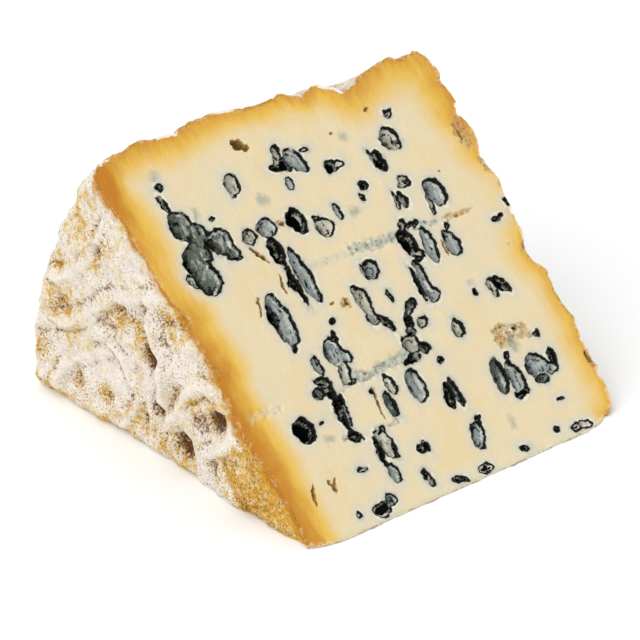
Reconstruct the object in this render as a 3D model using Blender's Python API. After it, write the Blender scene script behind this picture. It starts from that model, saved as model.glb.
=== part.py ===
"""A wedge of natural-rinded blue cheese, cut from a flat drum and lying on one of its cut faces.

Metres, +Z up. The sharp tip edge, once the axis of the drum, runs along X at the front.
The round rind is at the back, a flat rind is at each end, and the lower cut face is on z = 0.
"""
import math

import bmesh
import bpy
from mathutils import Matrix, Vector, noise

MM = 0.001

# Driving dimensions of the wedge
WHEEL_RADIUS = 101.5 * MM
WEDGE_ANGLE = math.radians(42.6)
LEFT_TIP_X, LEFT_RIM_X = -48.0 * MM, -50.5 * MM
RIGHT_TIP_X, RIGHT_RIM_X = 48.5 * MM, 50.2 * MM
RIM_ROUND = 4.0 * MM
FINISHED_WIDTH = 101.0 * MM
FINISHED_DEPTH = 102.5 * MM

# How finely the rind is stepped
RIND_STEP = 4.0 * MM
ROUND_STEPS = 4
ANGLE_STEPS = 16
MERGE_DISTANCE = 0.001 * MM

# Lumps of the rind: height and width of each size
LUMPS = ((1.3 * MM, 21.0 * MM), (0.6 * MM, 9.0 * MM))
TIP_FADE = 12.0 * MM

# Dents of the rind: x, y, z of the middle, radius, depth
RIND_DENTS = tuple(
    tuple(size * MM for size in dent)
    for dent in (
        (-49, 54, 26, 8, 2.2),
        (-49, 31, 20, 7, 1.6),
        (-49, 43, 6, 7, 1.9),
        (-50, 84, 12, 9, 1.2),
        (24, 74, 68, 7, 3.6),
        (11, 75, 68, 5, 1.4),
        (-30, 75, 68, 5, 0.9),
        (50, 52, 47, 5, 1.5),
        (49, 32, 29, 6, 2.2),
        (49, 10, 9, 6, 1.0),
        (20, 98, 30, 12, 1.6),
        (-22, 101, 12, 13, 1.4),
        (50, 70, 22, 10, 1.5),
    )
)

# Open holes in the upper cut face: x, distance up the face, half width, half length, depth
FACE_HOLES = tuple(
    tuple(size * MM for size in hole)
    for hole in (
        (-37.5, 72.0, 3.3, 3.3, 4.0),
        (-37.5, 65.7, 3.1, 2.7, 3.5),
        (-29.5, 75.0, 3.6, 2.8, 3.5),
        (-37.0, 80.5, 2.4, 4.2, 3.0),
        (-24.5, 52.5, 2.9, 7.0, 5.0),
        (-12.5, 58.0, 2.1, 6.0, 3.5),
        (-7.2, 72.0, 2.5, 3.0, 4.0),
        (-1.0, 45.5, 2.1, 6.0, 3.5),
        (18.0, 57.8, 2.2, 4.0, 4.0),
        (16.0, 46.5, 2.1, 5.5, 3.5),
        (31.5, 66.5, 2.3, 4.2, 3.0),
        (27.5, 82.0, 2.7, 3.0, 3.0),
        (0.2, 25.5, 2.8, 4.0, 3.5),
        (24.5, 18.5, 4.0, 5.3, 3.5),
        (35.0, 17.5, 4.9, 3.6, 3.5),
        (-33.0, 26.0, 3.0, 3.0, 4.5),
        (9.0, 9.0, 2.4, 3.4, 3.0),
        (8.0, 20.5, 2.1, 3.8, 3.5),
        (35.5, 39.5, 2.8, 2.4, 3.0),
        (-22.0, 25.0, 1.6, 5.5, 3.5),
    )
)
HOLE_SEGMENTS = 12
HOLE_RINGS = 8

# Colour of the cream paste
PASTE_COLOUR = (0.80, 0.69, 0.44, 1.0)
PASTE_ROUGHNESS = 0.5


def clear_scene():
    """Start from an empty scene."""
    for item in list(bpy.data.objects):
        bpy.data.objects.remove(item, do_unlink=True)


def spread(start, end, step):
    """Evenly spaced values from start to end, about a step apart, both ends included."""
    count = max(1, round(abs(end - start) / step))
    return [start + (end - start) * index / count for index in range(count + 1)]


def end_x(tip_x, rim_x, radius):
    """X of a flat rind at a distance from the tip edge: the drum is thicker at its rim."""
    return tip_x + (rim_x - tip_x) * radius / WHEEL_RADIUS


def wheel_profile():
    """Outline of the drum in the (x, radius) plane, from the left tip to the right tip."""
    flat_end = WHEEL_RADIUS - RIM_ROUND
    left = [(end_x(LEFT_TIP_X, LEFT_RIM_X, radius), radius)
            for radius in spread(0.0, flat_end, RIND_STEP)]
    right = [(end_x(RIGHT_TIP_X, RIGHT_RIM_X, radius), radius)
             for radius in spread(flat_end, 0.0, RIND_STEP)]
    left_centre = LEFT_RIM_X + RIM_ROUND
    right_centre = RIGHT_RIM_X - RIM_ROUND
    turns = [math.pi / 2 * index / ROUND_STEPS for index in range(1, ROUND_STEPS + 1)]
    left_round = [(left_centre - RIM_ROUND * math.cos(turn), flat_end + RIM_ROUND * math.sin(turn))
                  for turn in turns]
    belt = [(x, WHEEL_RADIUS) for x in spread(left_centre, right_centre, RIND_STEP)[1:-1]]
    right_round = [(right_centre + RIM_ROUND * math.sin(turn), flat_end + RIM_ROUND * math.cos(turn))
                   for turn in [0.0] + turns[:-1]]
    return left + left_round + belt + right_round + right


def outward(x, radius):
    """Unit direction out of the rind in the (x, radius) plane."""
    core_x = min(max(x, LEFT_RIM_X + RIM_ROUND), RIGHT_RIM_X - RIM_ROUND)
    core_radius = min(radius, WHEEL_RADIUS - RIM_ROUND)
    return Vector((x - core_x, radius - core_radius)).normalized()


def relief(point):
    """Height of the lumpy rind over the plain drum."""
    height = sum(size * noise.noise(point / width) for size, width in LUMPS)
    for x, y, z, reach, depth in RIND_DENTS:
        near = 1.0 - (point - Vector((x, y, z))).length / reach
        if near > 0.0:
            height -= depth * near * near * (3.0 - 2.0 * near)
    return height


def shape_rind(bm):
    """Push each rind vertex in or out within its own half-plane, so the cut faces stay flat."""
    for vertex in bm.verts:
        x, y, z = vertex.co
        radius = math.hypot(y, z)
        if radius < MERGE_DISTANCE:
            continue
        direction = outward(x, radius)
        height = relief(vertex.co) * min(1.0, radius / TIP_FADE)
        new_radius = radius + direction.y * height
        vertex.co = (x + direction.x * height, y / radius * new_radius, z / radius * new_radius)


def close_cut_faces(bm, tip_edge):
    """Fill the lower and the upper cut face, which meet at the tip edge."""
    normals = (Vector((0, 0, -1)), Vector((0, -math.sin(WEDGE_ANGLE), math.cos(WEDGE_ANGLE))))
    for normal in normals:
        outline = [edge for edge in bm.edges
                   if (edge.is_boundary or edge == tip_edge)
                   and all(abs(vertex.co @ normal) < MERGE_DISTANCE for vertex in edge.verts)]
        bmesh.ops.edgenet_fill(bm, edges=outline)


def fit_to_size(bm):
    """Bring the lumpy body to its finished size and set its bottom centre on the origin."""
    low_x = min(vertex.co.x for vertex in bm.verts)
    high_x = max(vertex.co.x for vertex in bm.verts)
    high_y = max(vertex.co.y for vertex in bm.verts)
    middle = Matrix.Translation((-(low_x + high_x) / 2, 0, 0))
    scale = Matrix.Diagonal((FINISHED_WIDTH / (high_x - low_x), FINISHED_DEPTH / high_y, 1, 1))
    back = Matrix.Translation((0, -FINISHED_DEPTH / 2, 0))
    bmesh.ops.transform(bm, matrix=back @ scale @ middle, verts=bm.verts)


def paste_material():
    """Cream paste of the cheese."""
    material = bpy.data.materials.new("blue_cheese_paste")
    material.use_nodes = True
    shader = material.node_tree.nodes["Principled BSDF"]
    shader.inputs["Base Color"].default_value = PASTE_COLOUR
    shader.inputs["Roughness"].default_value = PASTE_ROUGHNESS
    shader.inputs["Metallic"].default_value = 0.0
    return material


def add_object(name, bm):
    """Turn a bmesh into a named object of the scene."""
    mesh = bpy.data.meshes.new(name)
    bm.to_mesh(mesh)
    bm.free()
    item = bpy.data.objects.new(name, mesh)
    bpy.context.scene.collection.objects.link(item)
    return item


def make_wedge():
    """The drum's outline spun through the wedge angle, with a lumpy rind and flat cut faces."""
    bm = bmesh.new()
    profile = [bm.verts.new((x, radius, 0.0)) for x, radius in wheel_profile()]
    edges = [bm.edges.new(pair) for pair in zip(profile, profile[1:])]
    bmesh.ops.spin(bm, geom=profile + edges, cent=(0, 0, 0), axis=(1, 0, 0),
                   angle=WEDGE_ANGLE, steps=ANGLE_STEPS)
    bmesh.ops.remove_doubles(bm, verts=bm.verts, dist=MERGE_DISTANCE)
    shape_rind(bm)
    tips = [vertex for vertex in bm.verts if math.hypot(*vertex.co.yz) < MERGE_DISTANCE]
    close_cut_faces(bm, bm.edges.new(tips))
    fit_to_size(bm)
    bmesh.ops.recalc_face_normals(bm, faces=bm.faces)
    wedge = add_object("cheese_wedge", bm)
    wedge.data.materials.append(paste_material())
    wedge.data.shade_smooth()
    wedge.data.set_sharp_from_angle(angle=math.radians(40))
    return wedge


def make_hole_cutters():
    """One ellipsoid for each open hole, sunk a little under the upper cut face."""
    face = (Matrix.Translation((0, -FINISHED_DEPTH / 2, 0))
            @ Matrix.Rotation(WEDGE_ANGLE, 4, "X"))
    bm = bmesh.new()
    for x, up_face, half_width, half_length, depth in FACE_HOLES:
        place = face @ Matrix.Translation((x, up_face, 0.0))
        size = Matrix.Diagonal((half_width, half_length, depth, 1.0))
        bmesh.ops.create_uvsphere(bm, u_segments=HOLE_SEGMENTS, v_segments=HOLE_RINGS,
                                  radius=1.0, matrix=place @ size)
    cutters = add_object("hole_cutters", bm)
    cutters.hide_render = True
    cutters.display_type = "WIRE"
    return cutters


def main():
    """Build the wedge and open its holes."""
    clear_scene()
    wedge = make_wedge()
    holes = wedge.modifiers.new("holes", "BOOLEAN")
    holes.operation = "DIFFERENCE"
    holes.object = make_hole_cutters()


main()
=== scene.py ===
"""Blue cheese wedge with a natural rind: its finished surface, and the stage it is shown on."""
import itertools
import math

import bpy
import numpy as np
from bpy.props import FloatProperty, FloatVectorProperty, IntProperty, PointerProperty
from mathutils import Matrix, Vector
from mathutils.geometry import delaunay_2d_cdt
from mathutils.kdtree import KDTree


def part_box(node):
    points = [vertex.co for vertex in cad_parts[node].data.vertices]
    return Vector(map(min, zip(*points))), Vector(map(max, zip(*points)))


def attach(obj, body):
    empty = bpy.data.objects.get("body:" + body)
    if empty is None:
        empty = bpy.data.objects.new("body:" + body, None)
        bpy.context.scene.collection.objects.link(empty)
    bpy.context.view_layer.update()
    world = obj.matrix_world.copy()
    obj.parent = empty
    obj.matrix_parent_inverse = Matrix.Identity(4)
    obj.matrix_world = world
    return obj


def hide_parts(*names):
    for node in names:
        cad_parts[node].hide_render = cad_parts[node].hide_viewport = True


bl_info = {
    "name": "Blue Cheese Wedge",
    "version": (1, 0, 0),
    "blender": (4, 5, 0),
    "location": "3D View > Sidebar > Cheese",
    "description": "A wedge of natural-rinded blue cheese with mould-lined holes",
    "category": "Add Mesh",
}

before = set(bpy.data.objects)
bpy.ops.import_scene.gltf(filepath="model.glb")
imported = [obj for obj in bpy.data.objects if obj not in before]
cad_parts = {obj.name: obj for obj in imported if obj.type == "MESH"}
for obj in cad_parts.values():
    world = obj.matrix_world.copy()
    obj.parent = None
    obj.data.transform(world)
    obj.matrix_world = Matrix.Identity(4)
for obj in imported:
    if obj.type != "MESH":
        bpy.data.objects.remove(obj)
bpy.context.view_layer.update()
WEDGE_LOW = Vector(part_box("cheese_wedge")[0])
MM = 0.001


def linear(hex_colour):
    """Scene-linear red, green and blue of an sRGB hex colour."""
    parts = [int(hex_colour[place:place + 2], 16) / 255 for place in (1, 3, 5)]
    return tuple(part / 12.92 if part <= 0.04045 else ((part + 0.055) / 1.055) ** 2.4
                 for part in parts)


def colour_property(name, description, hex_colour):
    """A colour setting of the panel."""
    return FloatVectorProperty(name=name, description=description, subtype="COLOR", size=3,
                               min=0.0, max=1.0, default=linear(hex_colour))


def length_property(name, description, millimetres):
    """A length setting of the panel."""
    return FloatProperty(name=name, description=description, unit="LENGTH",
                         subtype="DISTANCE", min=0.0, default=millimetres * MM)


class CheeseSizes(bpy.types.PropertyGroup):
    """Sizes of the drum that the wedge was cut from, and of its grain."""
    wheel_radius: length_property("Wheel radius", "From the tip edge to the round rind", 101.5)
    wedge_angle: FloatProperty(name="Wedge angle", description="Angle between the cut faces",
                               subtype="ANGLE", default=math.radians(42.6))
    rim_round: length_property("Rim round", "Radius where a flat rind turns into the round one", 4)
    lump_height: length_property("Lump height", "Height of the broad lumps of the rind", 1.1)
    grain_height: length_property("Grain height", "Height of the crumbly grain of the rind", 0.36)
    rind_step: length_property("Rind step", "Spacing of the mesh on the rind", 0.6)
    face_step: length_property("Face step", "Widest spacing of the mesh on a cut face", 1.0)
    seed: IntProperty(name="Seed", description="Choice of the random holes and dents", default=7)


class CheeseColours(bpy.types.PropertyGroup):
    """Colours of the paste, the mould and the rind."""
    paste: colour_property("Paste", "Cream paste in the middle", "#E7D5AE")
    golden: colour_property("Golden paste", "Paste that has dried towards the rind", "#EABC42")
    amber: colour_property("Amber edge", "Hardest paste right under the rind", "#C27A17")
    veined: colour_property("Veined paste", "Paste that the mould has tinted", "#D3D0C2")
    halo: colour_property("Mould halo", "Grey-green paste round a hole", "#9BA294")
    # Pale dried paste for crumbs and smears; also a painted highlight on the brim round each
    # mouldy hole
    lip: colour_property("Pale lip", "Dried paste on the brim of a hole", "#F4ECCF")
    # Dense dark mould; also used for painted shade in the holes: on their side away from the light
    # and, partly, in the dark lines along their walls
    black: colour_property("Dark mould", "Dense mould on the hole walls", "#060906")
    moss: colour_property("Green mould", "Thick green-grey mould", "#6C7369")
    grey: colour_property("Grey mould", "Dry blue-grey mould on a hole's floor", "#A3ABA8")
    # Whitish bloom on the mould; also the painted glints and highlights on the hole walls
    frost: colour_property("Frosted mould", "Whitish bloom on the mould", "#E4E4D8")
    bare: colour_property("Bare wall", "Hole wall that is hardly moulded", "#CFC9B4")
    rust: colour_property("Dry crack", "Ochre wall of a hole without mould", "#A9833C")
    bloom: colour_property("Bloom", "Off-white bloom of the rind", "#FCF3E7")
    lilac: colour_property("Lilac bloom", "Grey-lilac patches of the bloom", "#E4D8D2")
    cream_bloom: colour_property("Cream bloom", "Cream patches of the bloom", "#F2DFB2")
    ochre: colour_property("Ochre bloom", "Yellow-ochre patches of the rind", "#DB9E18")
    tan: colour_property("Tan crust", "Brownish grain that shows through the bloom", "#A8793A")
    # Also darkens the pits and creases of the rind, partly as painted shade
    earth: colour_property("Earth", "Brown in the pits and pores of the rind", "#57330F")


class StageSettings(bpy.types.PropertyGroup):
    """Camera and light."""
    azimuth: FloatProperty(name="Azimuth", description="Camera's turn round the wedge",
                           subtype="ANGLE", default=math.radians(-39.6))
    elevation: FloatProperty(name="Elevation", description="Camera's height angle",
                             subtype="ANGLE", default=math.radians(29.5))
    distance: length_property("Distance", "From the camera to its target", 1000)
    view_width: length_property("View width", "Width seen at the target's distance", 150.6)
    light: FloatProperty(name="Light", description="Strength of all the lamps", default=1.0)


# --- Form of the wedge, in millimetres: x along the tip edge, radius away from it ---

# Ends of the drum: x at the tip edge and at the rim
LEFT_END = (-48.0, -50.5)
RIGHT_END = (48.5, 50.2)
CUT_EDGE_REACH = 9.0  # how far round the drum the upper cut's outline is felt
PROFILE_STEP = 0.1
OUTLINE_STEP = 0.45

# Crumbly outline of the upper cut face, from the left tip over the rim to the right tip
CUT_OUTLINE = (
    (-47.9, 0), (-47.4, 2), (-46.9, 5), (-46.6, 10), (-46.9, 15), (-47.6, 20), (-48.2, 25),
    (-48.1, 30), (-48.5, 35), (-48.3, 40), (-47.2, 44), (-46.4, 47), (-47.2, 50), (-47.9, 54),
    (-47.5, 57), (-46.6, 60), (-48.5, 65), (-49.0, 70), (-49.3, 75), (-49.6, 80), (-50.2, 88),
    (-50.9, 92), (-51.2, 96), (-50.6, 99), (-49.0, 100.6), (-47.0, 101.2), (-44.0, 101.9),
    (-39.0, 102.8), (-35.0, 103.3), (-32.0, 102.2), (-29.0, 102.0), (-24.0, 102.9),
    (-19.0, 103.5), (-14.0, 103.5), (-9.0, 102.8), (-6.0, 102.0), (-3.0, 101.6), (1.0, 101.6),
    (6.0, 102.0), (8.0, 101.0), (11.0, 99.6), (14.0, 100.7), (17.0, 101.3), (19.0, 100.5),
    (21.0, 98.4), (24.0, 97.2), (27.0, 98.0), (29.0, 99.6), (31.0, 100.0), (35.0, 101.1),
    (39.0, 101.0), (43.0, 100.5), (46.0, 100.3), (48.0, 99.6), (49.6, 97), (50.1, 94),
    (49.5, 90), (50.0, 85), (49.1, 82), (50.4, 78), (50.5, 75), (48.5, 70), (49.4, 67),
    (50.4, 64), (49.5, 60), (49.2, 57), (48.5, 52), (48.9, 50), (46.9, 45), (47.4, 42),
    (49.6, 39), (48.8, 35), (48.9, 30), (49.8, 26), (48.8, 20), (49.0, 15), (48.5, 12),
    (48.7, 8), (48.1, 5), (47.0, 2), (45.5, 0),
)

# Dents of the left rind: distance back, height, radius, depth
END_DENTS = (
    (54.5, 26.5, 4.8, 2.2), (52, 28.5, 3.2, 1.1), (51.5, 14.5, 3.8, 1.7), (44, 7.5, 4.2, 2.6),
    (32, 19.5, 3.8, 2.1), (29.5, 21, 3.2, 1.8), (37, 17, 4.4, 1.2), (58.5, 8.2, 1.9, 1.5),
    (71, 9, 2.6, 1.0), (83, 8.5, 2.8, 1.1), (77, 20, 2.3, 1.0), (73, 47.5, 2.5, 1.3),
    (33, 7, 2.5, 1.3), (21, 2.8, 2.2, 1.1), (3.5, 5, 2.0, 1.1), (46, 40, 3.4, 1.2),
    (49, 38.5, 1.8, 1.1), (42, 41, 3.0, 1.3), (66, 35, 2.4, 1.1), (69, 28.5, 2.6, 1.1),
    (34, 33, 2.8, 1.2), (82, 53, 2.5, 0.9), (89, 27, 2.8, 0.9), (97, 12, 2.8, 0.7),
    (39, 31, 2.6, 0.9), (63, 14, 3.2, 0.9), (60, 21, 3.4, 0.9), (24, 12, 2.6, 0.8),
)

# Creases and raised seams of the left rind: width, height, and the route (distance back, height)
END_SEAMS = (
    (2.0, -0.6, ((66, 33), (68, 28.5), (72, 24), (77, 19.5), (83, 12), (88, 6))),
    (1.8, -0.4, ((73, 47.5), (79, 43), (85, 40.5), (90, 36))),
    (0.9, -1.3, ((10, 7), (7.5, 9), (4, 12))),
    (1.6, -0.7, ((66, 33), (60, 33.5), (55.5, 31), (53, 25))),
    (1.5, -0.5, ((72, 44), (66, 39), (58, 35))),
    (1.8, -1.0, ((56, 31), (53.5, 24), (52.5, 14), (50, 6))),
    (3.2, 1.7, ((50, 47), (53, 42), (54, 36), (50, 30), (49, 23), (50, 17), (47, 12))),
    (2.8, 1.1, ((30, 27), (26, 22), (28, 14), (36, 9))),
    (3.2, 1.3, ((98, 19), (90, 22), (84, 24), (76, 30), (69, 36), (60, 40), (53, 44))),
    (2.8, 1.2, ((47, 12), (44, 20), (38, 26), (30, 28))),
    (3.0, 1.2, ((92, 33), (84, 36), (76, 44), (70, 55))),
    (2.8, 1.0, ((68, 2), (63, 8), (60, 14), (66, 21), (76, 27))),
    (2.6, 0.9, ((92, 3), (88, 10), (80, 16), (72, 21))),
)

# Holes of the upper cut face by what lines them: x, distance up the face, half width, half
# length, lean in degrees, depth
UPPER_HOLES = {
    "haze": (
        (-36.2, 93.8, 1, 1, 0, 0.3), (-31.1, 81.4, 0.8, 1.8, 10, 0.5),
        (-12.7, 79.5, 1.2, 1, 45, 0.15), (16.1, 87.2, 0.8, 0.5, 0, 0.1),
        (8.6, 69.4, 1.2, 0.7, 0, 0.3), (28.2, 42.5, 0.8, 0.4, 0, 0.2),
        (-28, 21.5, 1.2, 0.7, 0, 0.15), (20.3, 1.2, 1, 0.9, 0, 0.2), (19, 8.4, 0.3, 0.9, 0, 0.2),
        (30.6, 25.4, 1.2, 2.2, 10, 1.2),
    ),
    "pale": (
        (-37.4, 82.4, 1.4, 1.7, 0, 1.2), (-40.5, 67.4, 0.8, 2.2, -15, 1.4),
        (-20.7, 72.5, 2, 2, 0, 2), (-18.1, 85.6, 1.9, 2.9, 5, 2.5), (-3.5, 88.6, 0.9, 2.7, 25, 2),
        (11.6, 81.2, 1, 1, 0, 1), (20.2, 79.5, 0.5, 2.5, 0, 1), (27.8, 82.6, 2.7, 3, -10, 2.8),
        (-1, 68.3, 2.2, 2.6, 0, 2), (20.7, 68.2, 0.6, 2.3, 5, 1.2), (25, 71.7, 1.6, 1.5, 0, 1.8),
        (29.1, 64.7, 0.7, 3.3, 12, 1.6), (-15.5, 34.6, 1.5, 3.1, 10, 1.8),
        (2.7, 54.8, 0.5, 1.9, 0, 1), (18.7, 62, 1.2, 1.3, 0, 1.5),
        (-1.3, 48.3, 1.8, 4.3, -8, 2.5), (10.7, 38.7, 1.4, 1.3, 0, 1.5),
        (4.8, 35, 2.3, 2.6, 0, 2.8), (18.8, 34.3, 1.6, 2.5, 0, 1.6),
        (33.3, 39.9, 1.4, 2.5, 0, 1.8), (-14.9, 15.7, 2, 4.1, -8, 1.5),
        (37.3, 1.1, 1.6, 1.1, 0, 0.4), (-5.9, 27.8, 1.3, 2.7, -5, 1.5),
    ),
    "rust": (
        (-20.7, 67.6, 0.6, 2.9, -25, 1.5), (-11.7, 94, 1.9, 1.6, 0, 2.6),
        (-9.7, 92.6, 0.9, 0.6, -20, 1.2), (13.1, 88.7, 0.6, 0.6, 0, 0.5),
        (-11.3, 72.5, 0.8, 0.9, 30, 0.8), (35.6, 70.7, 0.5, 0.4, 0, 0.3),
        (46.4, 77.4, 0.6, 1.7, 8, 0.8), (25.7, 91.4, 0.8, 0.6, 0, 0.5),
        (-27.6, 56.5, 0.4, 2.5, 20, 0.8), (-19, 59.3, 0.4, 2.7, 3, 0.6),
        (-5.6, 49.4, 0.6, 1.1, 0, 0.8), (-9.4, 50.6, 0.8, 0.5, 0, 0.4),
        (26.5, 53.4, 0.4, 2.2, 0, 0.7), (43.5, 48.1, 0.5, 0.4, 0, 0.3),
        (-38.7, 11.5, 0.5, 2.6, 20, 1.2), (-33.4, 11.6, 0.4, 1.8, -8, 1),
        (-32.3, 12.2, 0.4, 1.3, 35, 0.8), (-11.5, 25, 0.4, 3.7, 5, 1),
        (29.6, 30.6, 0.9, 0.4, 0, 0.7), (33.9, 28.8, 0.5, 1, 0, 0.9),
        (48.2, 15.8, 0.5, 1.7, 0, 0.8),
    ),
    "grey": (
        (-15.5, 73.1, 2.4, 2.4, 0, 2), (0.6, 85.9, 2.1, 3.7, -20, 2.6),
        (-3.9, 80.8, 1.3, 1.3, 0, 0.8), (4.2, 70.9, 0.8, 1.9, -10, 1.2),
        (22.7, 67.8, 1.1, 2.2, -5, 3), (32, 66.5, 2.6, 4.1, -8, 3),
        (-24.1, 51.8, 2.7, 6.8, 0, 3.2), (-21.3, 38.7, 1, 2.5, 0, 2),
        (-15.4, 40.2, 2.5, 3.5, 0, 2.2), (-13.1, 37.8, 1.3, 1.6, 0, 1.4),
        (-12.7, 59.4, 2, 7.2, -3, 3), (4.9, 54.8, 2, 2.4, 0, 2.5), (22.9, 55, 1.6, 4.5, 5, 2.2),
        (16.6, 47.7, 1.4, 5.4, 3, 2.2), (17.4, 44, 1.5, 1.6, -30, 1.8),
        (-1.1, 43.7, 1.9, 1.8, -20, 2), (29, 53.7, 2, 3.2, -5, 2.5),
        (-20.5, 25.5, 0.5, 2.9, 5, 1.2), (-16.6, 8.6, 1.5, 2.6, 5, 2),
        (-21.2, 3.3, 1.5, 1.9, 10, 0.9), (0.2, 25.4, 2.5, 4.2, 0, 2.8),
        (9.1, 9.1, 2.1, 3.4, 20, 2.2), (26.5, 18, 2, 4.4, -5, 2.6),
        (33.6, 18.6, 3.4, 2.7, 0, 2.6), (37.1, 16.6, 1.9, 1.3, 0, 1.6),
    ),
    "moss": (
        (-36.4, 81, 2.9, 3.6, 0, 2.2), (-33.6, 77.6, 2.9, 2.9, 0, 2.2),
        (-37.3, 71.8, 3.3, 3.6, 5, 3.2), (-36.6, 66.6, 3.2, 3.9, -8, 3),
        (-34.5, 73.5, 1.6, 3, -25, 2), (-28.9, 74, 3.2, 3.2, 0, 2.6),
        (-27.3, 71.2, 1.8, 2.6, 0, 2.2), (-24.9, 32.6, 1.8, 1.3, 20, 1.8),
        (9.2, 42.7, 1, 2.9, 48, 2.2), (-8.4, 23.6, 1.2, 3.5, -3, 2.6),
        (9.5, 20, 0.8, 3.8, -3, 2.2), (22.5, 19.7, 1.9, 4.5, 10, 3), (33.2, 15.3, 1.9, 1, 0, 1.6),
    ),
    "black": (
        (-36.3, 91.4, 1, 1.1, 0, 0.9), (-37.7, 87, 0.9, 2.4, -5, 1.6),
        (-27.8, 79.4, 0.7, 0.4, 0, 0.3), (-38.6, 71.6, 1.2, 2.1, 0, 3.8),
        (-31.6, 74.3, 0.8, 2.3, 10, 3.4), (-27.4, 69.2, 1.9, 0.8, 0, 1.8),
        (-16.4, 67.5, 1.7, 3.2, 5, 4.6), (-19.3, 84.7, 0.6, 1.6, 10, 2.5),
        (-2.3, 86, 1.5, 1.8, 0, 2), (-5.4, 85.8, 1.8, 1, 0, 1.4), (4.3, 87.3, 1.3, 0.6, 0, 0.4),
        (9.1, 81.1, 2, 1.3, 0, 2.2), (21.9, 78.7, 1.5, 3.1, 0, 3.2), (30.6, 88.6, 1.2, 1, 0, 0.9),
        (14.5, 74.4, 0.9, 1.2, 15, 0.8), (12.6, 71.4, 0.8, 0.8, 0, 0.6),
        (-7.2, 72, 2.7, 3, 0, 3.4), (-1.6, 71.2, 1, 0.5, 0, 0.8), (26.2, 71.2, 0.6, 1.2, -20, 2),
        (-25, 52.7, 1.8, 4.5, 5, 6), (-24.5, 44.7, 0.6, 1.6, 10, 2),
        (-22.3, 34.7, 2.2, 1.3, 30, 2), (-22, 31.8, 1.1, 1.3, 0, 1.5),
        (-13.3, 43.3, 0.7, 1.3, 0, 1.6), (-14.4, 31.9, 1, 0.8, 0, 1.4),
        (-11.5, 47.1, 0.9, 0.6, -20, 0.9), (-16, 58.6, 0.6, 6.3, -2, 3),
        (-16.4, 58.2, 0.9, 1.6, 0, 3.6), (17.7, 57.5, 2, 3.7, -10, 5.5),
        (21.6, 61.2, 1.8, 0.6, 0, 1), (18.5, 52.6, 0.9, 0.8, 0, 1.5),
        (19.7, 54, 0.8, 0.8, 0, 1.5), (14.4, 47.2, 0.5, 4.5, 0, 3),
        (1.5, 41.8, 0.9, 2.5, -15, 2.2), (6, 47.5, 0.6, 1.7, -5, 0.9),
        (7.4, 40.2, 1.2, 1.3, 0, 2.6), (7.8, 32.9, 1.5, 1.4, 0, 3),
        (6.5, 37.6, 1.5, 1.1, 40, 2.6), (3.6, 31.7, 1.6, 0.8, 0, 2.5), (3, 35.5, 0.7, 2, 0, 2.5),
        (29.9, 58, 0.8, 1, 30, 1.6), (36, 39.9, 1.2, 2.9, -30, 2.8),
        (28.2, 40.3, 0.7, 0.9, 0, 0.6), (44.4, 55.2, 1.9, 0.7, 0, 0.9),
        (49, 57.6, 0.5, 0.9, 0, 0.5), (-33.1, 25.8, 2.9, 3.2, -15, 5),
        (-27.6, 26, 0.8, 0.4, 0, 0.4), (-22.1, 27.9, 0.9, 2.4, 15, 3.5),
        (-20.1, 29.1, 0.6, 1.4, 10, 2.5), (-22.1, 24.4, 0.7, 2.5, 0, 3),
        (-21.3, 19.8, 1.9, 1.7, 0, 3.6), (-24.1, 12.5, 1.5, 0.5, 0, 0.5),
        (-17.4, 14.4, 0.7, 3.7, 0, 2.6), (-14.2, 18.9, 1.2, 0.9, -30, 1.2),
        (-13.2, 13.7, 0.4, 1.8, 0, 1), (-30.7, 3, 0.8, 1, 0, 0.6), (-24.4, 2.1, 2.3, 2.1, 0, 0.9),
        (-9.1, 4.3, 1, 2.2, -10, 1.2), (-6.8, 11.6, 1.1, 0.9, 0, 1.5),
        (-5.3, 11.5, 0.5, 1.5, -10, 1.6), (-2.5, 1.1, 1.1, 0.9, 0, 0.4),
        (-0.5, 0.9, 0.9, 0.7, 0, 0.3), (6.5, 0.9, 1.9, 1.2, 0, 0.4), (18.7, 1.4, 1.3, 1, 30, 0.4),
        (29.6, 2.7, 0.8, 0.8, 0, 0.5), (34.7, 0.9, 1.5, 1, 0, 0.4),
        (-11.8, 27.9, 0.5, 0.6, 0, 1.6), (1.2, 31.2, 1.2, 0.6, 0, 1.5), (9.8, 29, 1.1, 0.8, 0, 1),
        (7.2, 19.8, 1.3, 3.1, 15, 3), (10.9, 12.5, 0.9, 0.7, 0, 1), (26, 13.9, 2.2, 0.9, 0, 2),
        (38.9, 19.2, 1.1, 2.4, 0, 3.2), (27.2, 23.4, 0.8, 0.9, 0, 1),
        (32.9, 28.7, 0.4, 0.4, 0, 1.2), (38.2, 25.6, 0.9, 0.8, 0, 1.2),
        (34.8, 9.1, 0.9, 0.4, 0, 0.4),
    ),
}

# Bands where a piercing needle passed under the upper cut face: half width, roughness, how
# strongly the mould tints them, and the route
NEEDLE_TRACKS = (
    (1.5, 0.70, 0.75, ((2.5, 60.9), (9, 60.2), (17, 59.7))),
    (1.2, 0.10, 0.45, ((-14, 60.5), (-8, 60.5), (2, 60.6))),
    (0.9, 0.80, 0.80, ((19.5, 60.4), (23, 60.2), (27.5, 59.6))),
    (1.1, 0.40, 0.35, ((-44.5, 32.6), (-41, 33.2), (-36.5, 32.6))),
    (1.5, 0.80, 0.80, ((-14.5, 32.6), (-8, 32.0), (-2, 32.3), (3.5, 33.0))),
    (1.0, 0.50, 0.50, ((-22, 31.5), (-18, 31.2), (-14.5, 31.8))),
)
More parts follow.
